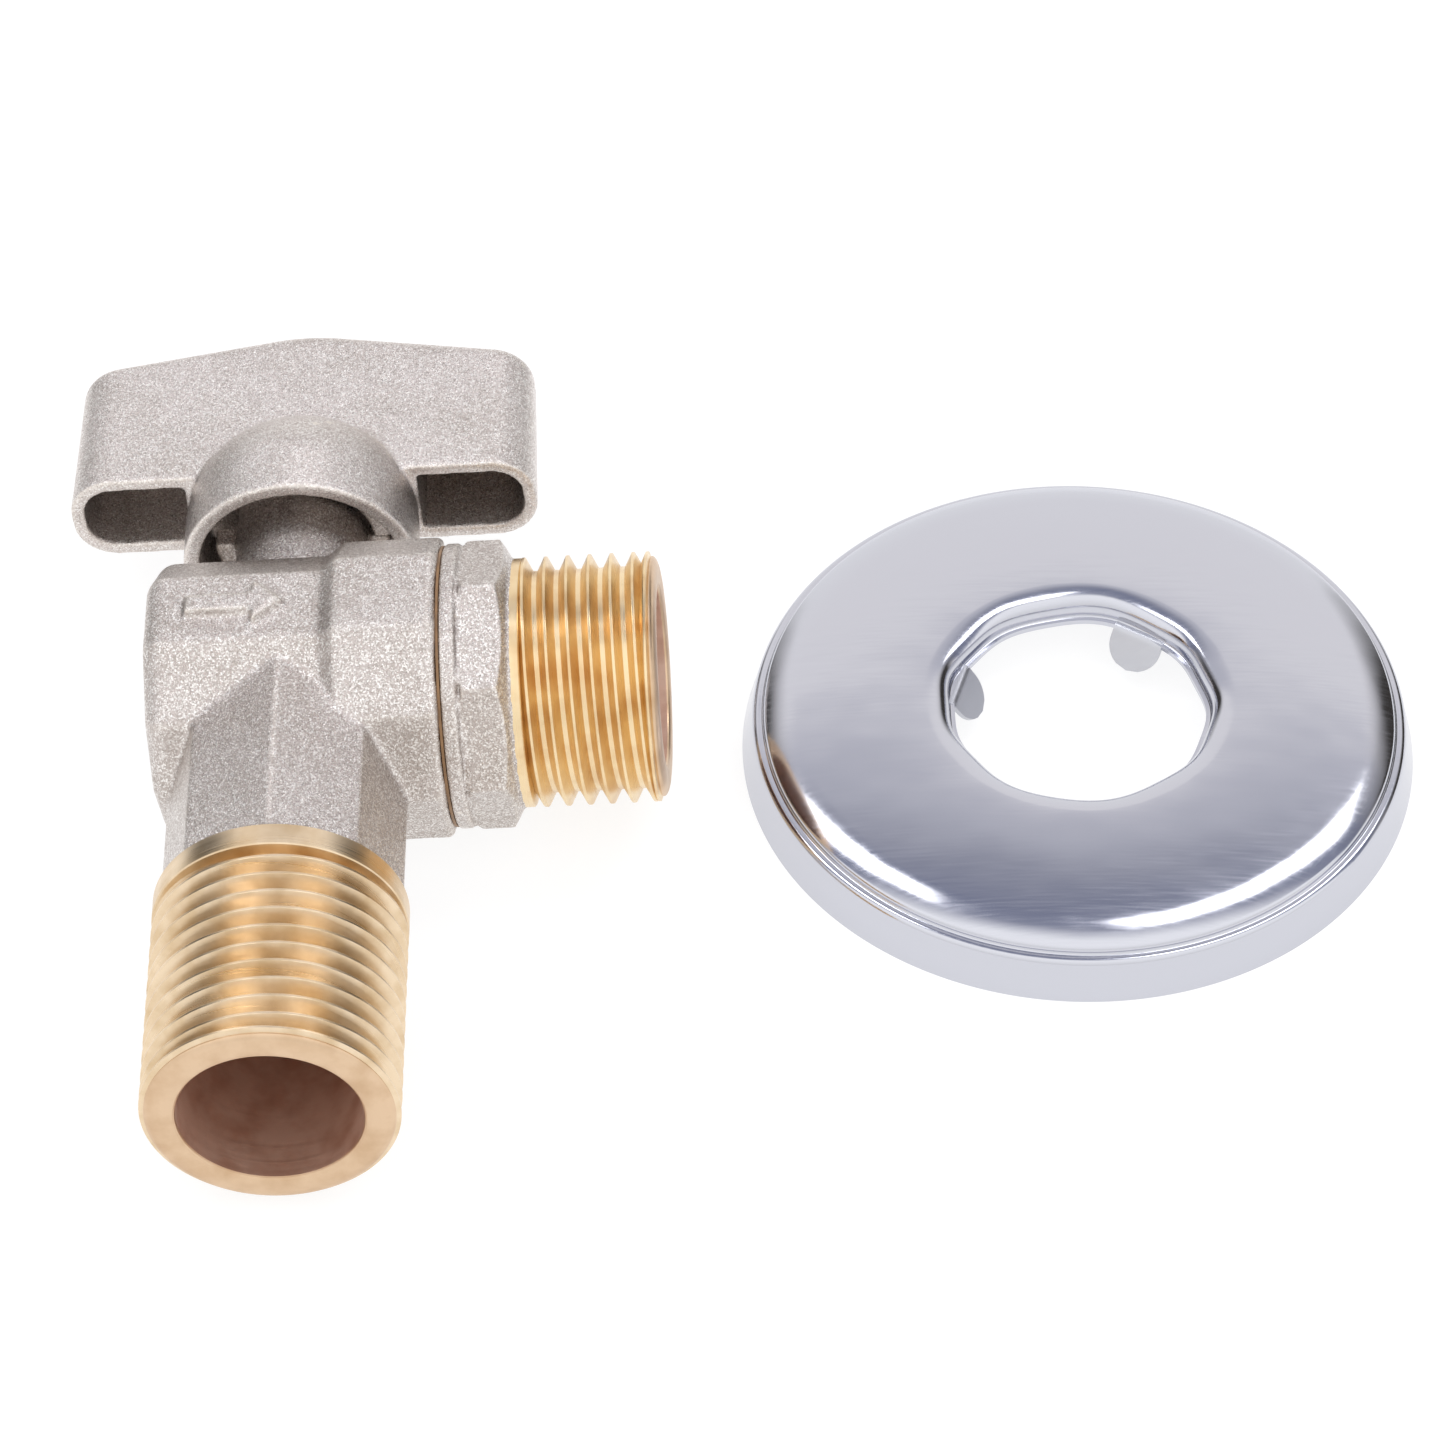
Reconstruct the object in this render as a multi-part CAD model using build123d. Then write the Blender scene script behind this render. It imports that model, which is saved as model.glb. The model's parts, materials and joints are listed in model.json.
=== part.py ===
from build123d import *
import math
import os

# Angle stop valve with its loose wall cover, in millimetres.
#
# Each piece of the valve is modelled in the valve's own frame: the origin is where the axes of
# inlet and outlet cross, the outlet runs along +X, the inlet along -Y, and the handle along +Y.
# At the end the valve is laid on the table, which puts the part's origin at the centre of the
# inlet's mouth, with +Z up, and the wall cover is laid beside it.

# ------------------------------------------------------------------ driving dimensions

# G 1/2 pipe thread, on both ends: 14 threads to the inch, 55 degrees, cut as rings
thread_pitch = 1.814
thread_depth = 1.162
thread_half_angle = 27.5
thread_crest_r = 10.36
thread_crest_flat = 0.32
bore_r = 7.45
end_lead = 0.9          # from the last crest's middle to the end face
end_face_r = 9.1        # the end face, inside its rounded corner
mouth_chamfer = 0.35

# Forged body: a ten-sided block along X, a wider ten-sided collar, an eight-sided inlet neck
block_r = 11.45
block_reach = 11.2
block_end_round = 1.8
step_start = 3.3
step_run = 1.4
collar_r = 12.55
collar_reach = 13.0
collar_edge = 0.35
neck_r = 9.95
neck_reach = 23.6
ring_reach = 25.75
inlet_reach = 45.6
inlet_crests = 11

# Stem neck with the quarter-turn stop's fixed lug
stem_neck_wall = 2.2
stem_neck_reach = 20.8
stop_lug_height = 2.0
stop_start = 17.6
stop_length = 2.2
stop_gap = 0.15

# Waterway inside the body
port_r = 5.0
inlet_bore_depth = 12.6     # where the wide bore ends, measured from the crossing
chamber_gap = 0.75          # around the ball
seat_length = 3.1
seat_clearance = 0.05

# Ball, stem and its seals
ball_r = 8.0
ball_clearance = 0.1
blade_width = 2.9
blade_inset = 0.8           # the blade's ends stand back from the stem collar's edge
blade_depth = 1.75
slot_clearance = 0.1
stem_r = 3.2
stem_hole_clearance = 0.1
stem_collar_width = 1.0
stem_collar_length = 1.6
stem_collar_gap = 0.05      # the collar stands this far outside the ball's chamber
stem_collar_clearance = 0.15
thrust_washer_t = 0.5
oring_wire_r = 0.53
oring_squeeze = 0.03        # the ring stands this far short of the hole's wall
oring_places = (2.3, 5.5)   # from the shoulder that the stem bears on
square_corner = 0.7         # the square's flats stand back from the stem's radius
square_clearance = 0.05
hub_rise = 0.6              # from the end of the stem neck to the handle's hub
hub_length = 5.4
hub_floor = 1.0             # closes the hub's square socket, and carries the screw's washer
hub_hole_clearance = 0.15
stem_end_gap = 0.4          # so the screw pulls the handle down, not the stem

# End connector, screwed into the collar
tail_step = 0.95            # the tail is wider than the ball's chamber by this
tail_clearance = 0.05
tail_overlap = 0.2          # the tail's end stands inside the ball's end by this
sealant_t = 0.22
flange_r = 11.8
flange_length = 1.35
groove_r = 11.2
groove_length = 0.3
grip_af = 22.1              # across the flats of the eight-sided wrench grip
grip_length = 3.83
shoulder_r = 10.3
shoulder_length = 0.95
outlet_reach = 30.8
outlet_crests = 6
connector_bore_start = 14.2

# Handle: a hub with a round skirt under a dome, and two hollow wings
skirt_start = 14.5
skirt_r = 9.9
skirt_wall = 1.35
dome_centre = 18.8
wing_start = 21.5
wing_half = 19.85
wing_thickness = 8.7
wing_corner_r = 3.75
wing_wall = 1.15
wing_draft = 1.6
wing_end_reach = 35.8
wing_apex_reach = 39.4
apex_round = 16.0
far_edge_round = 1.3
recess_r = 2.95

# Handle screw, washer and blank cap
screw_r = 1.5
screw_clearance = 0.05
screw_grip = 5.0            # length of thread in the stem
screw_hole_extra = 0.6
head_gap = 0.25             # between the head and the recess's wall
head_length = 2.0
drive_af = 2.0
drive_depth = 1.2
washer_t = 0.6
cap_length = 2.4
cap_sink = 0.45
cap_clearance = 0.05

# Wall cover: one pressed steel sheet with a stepped foot, a down-turned hole and three tabs
sheet_t = 0.45
cover_r = 28.3
cover_foot_lean = 13.0      # the foot flares outward to its base by this angle
cover_foot_height = 3.9
cover_foot_round = 0.6
cover_ledge = 1.75          # the foot's base stands this far out from the dome
cover_shoulder_round = 0.5
cover_shoulder_slope = 30.0
cover_rise_round = 11.0
cover_dome_slope = 4.0      # where the rise flattens into the dome, above the horizontal
cover_crown_r = 13.1        # the dome's highest circle
cover_fall_round = 3.5
cover_lip_slope = 20.0
cover_hole_r = 11.05
cover_collar_floor = 4.4    # height of the hole's collar above the table
cover_flange = 0.5
tab_width = 4.6
tab_length = 3.6
tab_droop = 52.0
tab_angles = (59, 163, 291)
cover_x = 65.5
cover_y = 4.7               # from the valve's crossing, as cover_x is

# ------------------------------------------------------------------ worked out

valve_x, valve_y = (1, 0, 0), (0, 1, 0)
toward_inlet = (0, -1, 0)
thread_run = thread_depth * math.tan(math.radians(thread_half_angle))
thread_root_r = thread_crest_r - thread_depth
connector_start = collar_reach + sealant_t
chamber_r = ball_r + chamber_gap
tail_r = chamber_r + tail_step
tail_start = ball_r - tail_overlap
seat_inner = tail_start - seat_length
seat_r = chamber_r - seat_clearance
chamber_end = -tail_start
stem_hole_r = stem_r + stem_hole_clearance
stem_neck_r = stem_hole_r + stem_neck_wall
stop_lug_r = stem_neck_r + stop_lug_height
stem_collar_r = stem_r + stem_collar_width
stem_collar_start = chamber_r + stem_collar_gap
stem_shoulder = stem_collar_start + stem_collar_length
bonnet_shoulder = stem_shoulder + thrust_washer_t
hub_start = stem_neck_reach + hub_rise
hub_end = hub_start + hub_length
socket_end = hub_end - hub_floor
stem_end = socket_end - stem_end_gap
screw_end = stem_end - screw_grip
oring_r = stem_hole_r - oring_squeeze - oring_wire_r
square_af = 2 * (stem_r - square_corner)
head_r = recess_r - head_gap
head_start = hub_end + washer_t


# ------------------------------------------------------------------ helpers

def turned(outline, direction):
    """A turned solid. The outline is a closed loop of (distance along the axis, radius)."""
    plane = Plane(origin=(0, 0, 0), x_dir=direction, z_dir=(0, 0, 1))
    face = make_face(Polyline(*outline, close=True))
    return revolve(plane * face, Axis((0, 0, 0), direction), 360)


def tube(start, end, inner, outer, direction):
    return turned([(start, inner), (end, inner), (end, outer), (start, outer)], direction)


def rod(start, end, radius, direction):
    return tube(start, end, 0, radius, direction)


def prism(radius, sides, start, end, direction, across):
    """A regular prism along direction, with one corner toward across."""
    plane = Plane(origin=Vector(*direction) * start, x_dir=across, z_dir=direction)
    return extrude(plane * RegularPolygon(radius, sides), end - start)


def thread_outline(first_crest, crests):
    """Crest and root points of the cut rings, from the first crest to the last."""
    points = []
    for turn in range(crests):
        middle = first_crest + turn * thread_pitch
        flat = thread_crest_flat / 2
        points.append((middle - flat - thread_run, thread_root_r))
        points.append((middle - flat, thread_crest_r))
        points.append((middle + flat, thread_crest_r))
        points.append((middle + flat + thread_run, thread_root_r))
    return points


def threaded_end(shoulder_start, shoulder_end, shoulder, reach, crests):
    """A plain shoulder ring, the cut thread and the rounded end, as one turned blank."""
    first_crest = reach - end_lead - (crests - 1) * thread_pitch
    outline = [(0, 0), (0, thread_root_r - 1), (shoulder_start, thread_root_r - 1)]
    outline += [(shoulder_start, shoulder), (shoulder_end, shoulder)]
    outline.append((shoulder_end + 0.2, thread_root_r))
    outline += thread_outline(first_crest, crests)[:-1]
    outline += [(reach - 0.3, end_face_r + 0.45), (reach, end_face_r), (reach, 0)]
    return turned(outline, valve_x)


def bore_cut(start, reach):
    """The waterway's wide bore with a small chamfer at the mouth."""
    outline = [(start, 0), (start, bore_r), (reach - mouth_chamfer, bore_r)]
    outline += [(reach, bore_r + mouth_chamfer), (reach, 0)]
    return turned(outline, valve_x)


def to_inlet(shape):
    """Turn a solid made along +X so that it runs along -Y."""
    return Rot(0, 0, -90) * shape


# ------------------------------------------------------------------ fixed pieces

def make_valve_body():
    """Hot-forged brass: block, collar, inlet neck with its thread, and stem neck."""
    block = prism(block_r, 10, -block_reach, step_start, valve_x, valve_y)
    block = fillet(block.faces().sort_by(Axis.X)[0].edges(), block_end_round)
    step = loft([
        Plane((step_start, 0, 0), x_dir=valve_y, z_dir=valve_x) * RegularPolygon(block_r, 10),
        Plane((step_start + step_run, 0, 0), x_dir=valve_y, z_dir=valve_x)
        * RegularPolygon(collar_r, 10),
    ])
    collar = prism(collar_r, 10, step_start + step_run, collar_reach, valve_x, valve_y)
    collar = chamfer(collar.faces().sort_by(Axis.X)[-1].edges(), collar_edge)
    neck = prism(neck_r, 8, 0, neck_reach, toward_inlet, valve_x)
    inlet_end = to_inlet(
        threaded_end(neck_reach, ring_reach, thread_crest_r, inlet_reach, inlet_crests))
    stem_neck = rod(0, stem_neck_reach, stem_neck_r, valve_y)
    lug = tube(stop_start, stop_start + stop_length, stem_neck_r - 0.5, stop_lug_r, valve_y)
    lug &= Pos(0, 0, -skirt_r) * Box(4 * skirt_r, 100, 2 * skirt_r)
    body = block + step + collar + neck + inlet_end + stem_neck + lug

    inlet_bore = to_inlet(bore_cut(inlet_bore_depth, inlet_reach))
    inlet_port = to_inlet(turned([
        (0, 0), (0, port_r), (inlet_bore_depth - (bore_r - port_r) * 0.6, port_r),
        (inlet_bore_depth, bore_r), (inlet_bore_depth, 0)], valve_x))
    chamber = rod(chamber_end, collar_reach, chamber_r, valve_x)
    ball_relief = rod(-ball_r - 4 * ball_clearance, 0, port_r, valve_x)
    tail_hole = rod(tail_start - 0.8, collar_reach, tail_r + tail_clearance, valve_x)
    stem_recess = rod(0, bonnet_shoulder, stem_collar_r + stem_collar_clearance, valve_y)
    stem_hole = rod(0, stem_neck_reach, stem_hole_r, valve_y)
    body -= inlet_bore + inlet_port + chamber + ball_relief + tail_hole
    return body - stem_recess - stem_hole


def make_end_connector():
    """Brass end with the outlet thread, an eight-sided wrench grip and a screwed tail."""
    start = connector_start
    flange_end = start + flange_length
    grip_start = flange_end + groove_length
    grip_end = grip_start + grip_length
    grip_r = grip_af / 2 / math.cos(math.pi / 8)
    grip = prism(grip_r, 8, grip_start, grip_end, valve_x, (0, 0, 1))
    drop = grip_r - shoulder_r
    grip &= turned([
        (grip_start, 0), (grip_start, grip_r - 0.25), (grip_start + 0.25, grip_r + 0.01),
        (grip_end - drop * 0.55, grip_r + 0.01), (grip_end, shoulder_r), (grip_end, 0)], valve_x)
    flange = tube(start, flange_end, 0, flange_r, valve_x)
    flange = chamfer(flange.edges().filter_by(GeomType.CIRCLE), 0.2)
    groove = rod(flange_end - 0.1, grip_start + 0.1, groove_r, valve_x)
    tail = rod(tail_start, start, tail_r, valve_x)
    outlet_end = threaded_end(
        grip_end, grip_end + shoulder_length, shoulder_r, outlet_reach, outlet_crests)
    connector = flange + groove + grip + tail + outlet_end
    connector -= rod(-1, tail_start, 2 * collar_r, valve_x)
    narrow = rod(tail_start - 1, connector_bore_start, port_r, valve_x)
    cone = turned([
        (connector_bore_start - (bore_r - port_r) * 0.6, 0),
        (connector_bore_start - (bore_r - port_r) * 0.6, port_r),
        (connector_bore_start, bore_r), (connector_bore_start, 0)], valve_x)
    return connector - narrow - cone - bore_cut(connector_bore_start, outlet_reach)


def make_joint_sealant():
    """Cured thread sealant that fills the line between collar and connector."""
    return tube(collar_reach, connector_start, tail_r + tail_clearance, flange_r - 0.15, valve_x)


def make_seat(side):
    """PTFE ring that the ball bears on. side is 1 toward the outlet, -1 at the back."""
    ring = tube(seat_inner, tail_start, port_r, seat_r, (-1, 0, 0))
    ring -= Sphere(ball_r + ball_clearance)
    return Rot(0, 0, 90 * (1 + side)) * ring


# ------------------------------------------------------------------ turning pieces

def make_ball():
    """Ball with ports toward inlet and outlet that meet at its middle, and the stem's slot."""
    ball = Sphere(ball_r)
    ball -= rod(0, 2 * ball_r, port_r, valve_x)
    ball -= to_inlet(rod(0, 2 * ball_r, port_r, valve_x))
    ball -= Sphere(port_r)
    slot_floor = ball_r - blade_depth - slot_clearance
    slot = Box(
        3 * ball_r, ball_r, blade_width + 2 * slot_clearance,
        align=(Align.CENTER, Align.MIN, Align.CENTER))
    return ball - Pos(0, slot_floor, 0) * slot


def make_stem():
    """Blow-out-proof stem: blade, collar, shaft with two grooves, and the handle's square."""
    blade_start = ball_r - blade_depth
    blade = Pos(0, blade_start, 0) * Box(
        2 * (stem_collar_r - blade_inset), stem_collar_start - blade_start + 0.1, blade_width,
        align=(Align.CENTER, Align.MIN, Align.CENTER))
    collar = rod(stem_collar_start, stem_shoulder, stem_collar_r, valve_y)
    shaft = rod(stem_shoulder, hub_start, stem_r, valve_y)
    for place in oring_places:
        groove = bonnet_shoulder + place
        shaft -= tube(
            groove - 1.25 * oring_wire_r, groove + 1.25 * oring_wire_r,
            oring_r - oring_wire_r, 2 * stem_r, valve_y)
    square = Pos(0, hub_start, 0) * Box(
        square_af, stem_end - hub_start, square_af,
        align=(Align.CENTER, Align.MIN, Align.CENTER))
    square &= rod(hub_start, stem_end, stem_r, valve_y)
    stem = blade + collar + shaft + square
    return stem - rod(
        screw_end - screw_hole_extra, stem_end, screw_r + screw_clearance, valve_y)


def make_thrust_washer():
    """PTFE washer between the stem's collar and the shoulder in the bonnet."""
    return tube(
        stem_shoulder, bonnet_shoulder, stem_r + 0.05, stem_collar_r, valve_y)


def make_oring(place):
    """Stem O-ring, standing in its groove."""
    ring = Torus(oring_r, oring_wire_r)
    return Pos(0, bonnet_shoulder + place, 0) * Rot(90, 0, 0) * ring


def wing_blank(inset, start):
    """The drafted rounded bar that both wings are cut from, shrunk on all sides by inset."""
    plane = Plane(origin=(0, wing_start, 0), x_dir=(1, 0, 0), z_dir=valve_y)
    section = RectangleRounded(
        2 * (wing_half - inset), wing_thickness - 2 * inset, wing_corner_r - inset)
    bar = extrude(plane * section, wing_apex_reach - wing_start, taper=wing_draft)
    apex = wing_apex_reach - inset
    ends = wing_end_reach - inset
    out = 1.3 * wing_half
    slope = (apex - ends) / wing_half
    roof = Polyline(
        (-out, start), (out, start), (out, apex - slope * out), (0, apex),
        (-out, apex - slope * out), close=True)
    roof = make_face(roof)
    roof = fillet(roof.vertices().sort_by(Axis.Y)[-1], apex_round)
    return bar & extrude(roof, 2 * wing_thickness, both=True)


def make_handle():
    """Die-cast handle: skirt, dome, hub and two wings with open pockets toward the valve."""
    wings = wing_blank(0, wing_start)
    far_edges = wings.faces().filter_by(
        lambda face: face.center().Y > wing_end_reach - 3
        and abs(face.normal_at().Y) > 0.9)
    rim = far_edges.edges().filter_by(lambda edge: abs(edge.center().Z) > 0.5 or abs(
        edge.center().X) > 0.8 * wing_half)
    wings = fillet(rim, far_edge_round)
    pocket = wing_blank(wing_wall, wing_start)
    pocket -= Box(2 * skirt_r, 100, 100)
    wings -= pocket

    dome = Pos(0, dome_centre, 0) * Sphere(skirt_r)
    dome &= Pos(0, dome_centre, 0) * Box(
        100, 100, 100, align=(Align.CENTER, Align.MIN, Align.CENTER))
    skirt = rod(skirt_start, dome_centre, skirt_r, valve_y)
    handle = wings + dome + skirt

    cavity = rod(skirt_start - 1, hub_start, skirt_r - skirt_wall, valve_y)
    drive = Pos(0, hub_start, 0) * Box(
        square_af + 2 * square_clearance, socket_end - hub_start,
        square_af + 2 * square_clearance,
        align=(Align.CENTER, Align.MIN, Align.CENTER))
    drive &= rod(hub_start, socket_end, stem_r + square_clearance, valve_y)
    screw_hole = rod(hub_start, hub_end, screw_r + hub_hole_clearance, valve_y)
    recess = rod(hub_end, wing_apex_reach + 1, recess_r, valve_y)
    rib = tube(stop_start, stop_start + stop_length, stem_neck_r + 0.6, skirt_r - 0.3, valve_y)
    rib &= Pos(stop_gap, 0, stop_gap) * Box(
        50, 100, 50, align=(Align.MIN, Align.CENTER, Align.MIN))
    return handle - cavity - drive - screw_hole - recess + rib


def make_screw_washer():
    """Spring washer under the screw's head, flattened."""
    return tube(hub_end, head_start, screw_r + 0.1, head_r, valve_y)


def make_handle_screw():
    """M3 socket screw that holds the handle on the stem."""
    head = rod(head_start, head_start + head_length, head_r, valve_y)
    head = chamfer(head.edges().filter_by(GeomType.CIRCLE).sort_by(Axis.Y)[-1], 0.25)
    drive_r = drive_af / math.sqrt(3)
    head -= prism(
        drive_r, 6, head_start + head_length - drive_depth, head_start + head_length + 1,
        valve_y, (1, 0, 0))
    return head + rod(screw_end, head_start, screw_r, valve_y)


def make_handle_cap():
    """Blank push-in cap that closes the screw's recess."""
    outer = wing_apex_reach - cap_sink
    cap = rod(outer - cap_length, outer, recess_r - cap_clearance, valve_y)
    return fillet(cap.edges().filter_by(GeomType.CIRCLE).sort_by(Axis.Y)[-1], 0.3)


# ------------------------------------------------------------------ wall cover

def make_wall_cover():
    """Pressed stainless cover: stepped foot, domed top, down-turned hole, three spring tabs."""
    ledge_r = cover_r - cover_ledge
    ledge_z = cover_foot_height
    ledge_bend = 0.25
    bend_end = cover_collar_floor + ledge_bend
    lean = math.radians(cover_foot_lean)
    foot_z = ledge_z - cover_foot_round * (1 - math.sin(lean))
    foot = Line((cover_r, 0), (cover_r - foot_z * math.tan(lean), foot_z))
    foot_bend = JernArc(foot @ 1, foot % 1, cover_foot_round, 90 - cover_foot_lean)
    ledge = Line(foot_bend @ 1, (ledge_r + ledge_bend, ledge_z))
    step_bend = RadiusArc(ledge @ 1, (ledge_r, ledge_z + ledge_bend), ledge_bend)
    shoulder = JernArc(
        step_bend @ 1, step_bend % 1, cover_shoulder_round, 90 - cover_shoulder_slope)
    rise = JernArc(
        shoulder @ 1, shoulder % 1, cover_rise_round, cover_shoulder_slope - cover_dome_slope)
    dome_round = ((rise @ 1).X - cover_crown_r) / math.sin(math.radians(cover_dome_slope))
    dome = JernArc(rise @ 1, rise % 1, dome_round, cover_dome_slope)
    fall = JernArc(dome @ 1, dome % 1, cover_fall_round, cover_lip_slope)
    lip_round = ((fall @ 1).X - cover_hole_r) / (1 - math.sin(math.radians(cover_lip_slope)))
    lip = JernArc(fall @ 1, fall % 1, lip_round, 90 - cover_lip_slope)
    collar = Line(lip @ 1, (cover_hole_r, bend_end))
    flange_bend = RadiusArc(
        collar @ 1, (cover_hole_r - ledge_bend, cover_collar_floor), ledge_bend)
    flange = Line(flange_bend @ 1, (cover_hole_r - cover_flange, cover_collar_floor))
    outside = Wire([
        foot, foot_bend, ledge, step_bend, shoulder, rise, dome, fall, lip, collar,
        flange_bend, flange])
    section = make_face(offset(outside, amount=sheet_t, side=Side.LEFT))
    section &= Pos(0, cover_r) * Rectangle(4 * cover_r, 2 * cover_r)
    cover = revolve(Plane.XZ * section, Axis.Z, 360)
    tabs = [Rot(0, 0, angle) * make_tab() for angle in tab_angles]
    return cover.fuse(*tabs)


def make_tab():
    """One spring tab with a round end, bent down and inward from the hole's flange."""
    droop = math.radians(tab_droop)
    inward = (-math.cos(droop), 0, -math.sin(droop))
    root = (cover_hole_r - cover_flange + 0.25, 0, cover_collar_floor)
    below = (math.sin(droop), 0, -math.cos(droop))
    straight = tab_length - tab_width / 2
    outline = Pos(straight / 2, 0) * Rectangle(straight, tab_width)
    outline += Pos(straight, 0) * Circle(tab_width / 2)
    return extrude(Plane(origin=root, x_dir=inward, z_dir=below) * outline, sheet_t)


# ------------------------------------------------------------------ laying the pieces out

# The valve lies on its side, on the near edge of the collar's flat and the far edge of the
# block's flat. The collar is the wider one, so the outlet's end is tipped up by rest_roll.
block_flat = block_r * math.cos(math.pi / 10)
collar_flat = collar_r * math.cos(math.pi / 10)
collar_start = step_start + step_run
rest_roll = math.atan2(
    collar_flat - block_flat, collar_start + block_reach - block_end_round)
table_z = collar_start * math.sin(rest_roll) - collar_flat * math.cos(rest_roll)

# The origin is on the inlet's axis, at the outer edge of the thread's first crest
crossing_y = inlet_reach - end_lead + thread_crest_flat / 2
valve_place = Pos(0, crossing_y, 0) * Rot(0, -math.degrees(rest_roll), 0)
cover_place = Pos(cover_x, crossing_y + cover_y, table_z)

valve_pieces = {
    "valve_body": make_valve_body(),
    "end_connector": make_end_connector(),
    "joint_sealant": make_joint_sealant(),
    "outlet_seat": make_seat(1),
    "back_seat": make_seat(-1),
    "ball": make_ball(),
    "stem": make_stem(),
    "thrust_washer": make_thrust_washer(),
    "stem_oring_inner": make_oring(oring_places[0]),
    "stem_oring_outer": make_oring(oring_places[1]),
    "handle": make_handle(),
    "screw_washer": make_screw_washer(),
    "handle_screw": make_handle_screw(),
    "handle_cap": make_handle_cap(),
}

os.makedirs("parts", exist_ok=True)
for name, piece in valve_pieces.items():
    export_step(valve_place * piece, f"parts/{name}.step")
export_step(cover_place * make_wall_cover(), "parts/wall_cover.step")
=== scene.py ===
import bmesh
import bpy
import json
import math
from mathutils import Matrix, Vector


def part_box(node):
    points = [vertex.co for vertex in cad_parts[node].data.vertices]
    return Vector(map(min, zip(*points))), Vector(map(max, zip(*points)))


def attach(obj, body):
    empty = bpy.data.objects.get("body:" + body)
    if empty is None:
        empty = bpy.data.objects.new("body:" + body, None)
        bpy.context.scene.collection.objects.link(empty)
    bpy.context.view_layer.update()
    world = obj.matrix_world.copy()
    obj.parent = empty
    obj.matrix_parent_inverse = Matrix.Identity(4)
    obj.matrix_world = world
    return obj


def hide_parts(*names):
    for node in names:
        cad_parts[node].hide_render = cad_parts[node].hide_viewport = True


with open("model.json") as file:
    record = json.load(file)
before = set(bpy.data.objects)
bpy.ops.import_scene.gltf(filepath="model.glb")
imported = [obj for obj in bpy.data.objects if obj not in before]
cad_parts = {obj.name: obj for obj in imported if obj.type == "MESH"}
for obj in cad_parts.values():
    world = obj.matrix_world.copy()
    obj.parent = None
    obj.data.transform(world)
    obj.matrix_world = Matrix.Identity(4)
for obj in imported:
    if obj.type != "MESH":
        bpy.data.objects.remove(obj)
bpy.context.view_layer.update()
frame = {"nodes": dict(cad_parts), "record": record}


# ------------------------------------------------------------------ valve body

# Valve body. Hot-forged brass, blasted and nickel plated: a ten-sided block and collar, an
# eight-sided inlet neck and the round stem neck. The raised mark on its top is left out, and a
# plain arrow shows the direction of flow in its place.

def mm(*values):
    """A point or vector given in millimetres, in metres."""
    return Vector([value / 1000 for value in values])


record = frame["record"]
joints = {joint["name"]: joint for joint in record["behaviour"]["joints"]}
mounts = {mount["name"]: mount for mount in record["mounts"]}
crossing = Vector(joints["handle_turn"]["pos_m"])
outlet_axis = Vector(mounts["outlet_thread"]["axis"])
rest_roll = math.atan2(outlet_axis.z, outlet_axis.x)

# The valve's own frame: origin at the crossing of its axes, outlet along +X, inlet along -Y
valve = Matrix.Translation(crossing) @ Matrix.Rotation(-rest_roll, 4, "Y")


def srgb(code):
    """An sRGB hex colour as the linear colour that shaders take."""
    channels = [int(code[place:place + 2], 16) / 255 for place in (1, 3, 5)]
    linear = [c / 12.92 if c <= 0.04045 else ((c + 0.055) / 1.055) ** 2.4 for c in channels]
    return (*linear, 1.0)


def add(tree, kind, links=None, **settings):
    """Add a node: settings are its properties, links are its inputs, as values or sockets."""
    made = tree.nodes.new(kind)
    for name, value in settings.items():
        setattr(made, name, value)
    for name, value in (links or {}).items():
        if isinstance(value, bpy.types.NodeSocket):
            tree.links.new(value, made.inputs[name])
        else:
            made.inputs[name].default_value = value
    return made


def blank_material(name):
    material = bpy.data.materials.new(name)
    material.use_nodes = True
    tree = material.node_tree
    tree.nodes.clear()
    return material, tree


def millimetres(tree, place=None, stretch=(1, 1, 1)):
    """Object coordinates in millimetres, in the given frame, stretched for the pattern."""
    coordinates = add(tree, "ShaderNodeTexCoord").outputs["Object"]
    if place is not None:
        turn = place.to_3x3().transposed().to_euler()
        moved = add(tree, "ShaderNodeVectorMath", {
            0: coordinates, 1: place.translation}, operation="SUBTRACT").outputs[0]
        coordinates = add(tree, "ShaderNodeMapping", {
            "Vector": moved, "Rotation": turn}).outputs[0]
    return add(tree, "ShaderNodeMapping", {
        "Vector": coordinates, "Scale": [1000 * factor for factor in stretch]}).outputs[0]


def finish_material(tree, shader):
    output = add(tree, "ShaderNodeOutputMaterial")
    tree.links.new(shader.outputs[0], output.inputs["Surface"])


def ramp(tree, factor, *stops):
    """A colour ramp from (position, linear colour) pairs."""
    made = add(tree, "ShaderNodeValToRGB", {"Fac": factor})
    elements = made.color_ramp.elements
    while len(elements) < len(stops):
        elements.new(0.5)
    for element, (position, colour) in zip(elements, stops):
        element.position = position
        element.color = colour
    return made.outputs["Color"]


def span(tree, value, low, high, to_low, to_high):
    """Map a value from one range to another, clamped."""
    return add(tree, "ShaderNodeMapRange", {
        "Value": value, "From Min": low, "From Max": high,
        "To Min": to_low, "To Max": to_high}).outputs["Result"]


def mix_colour(tree, factor, first, second):
    """Mix two colours, each a socket or a linear colour."""
    mixer = add(tree, "ShaderNodeMix", data_type="RGBA", blend_type="MIX")
    for place, value in ((0, factor), (6, first), (7, second)):
        if isinstance(value, bpy.types.NodeSocket):
            tree.links.new(value, mixer.inputs[place])
        else:
            mixer.inputs[place].default_value = value
    return mixer.outputs[2]


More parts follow.
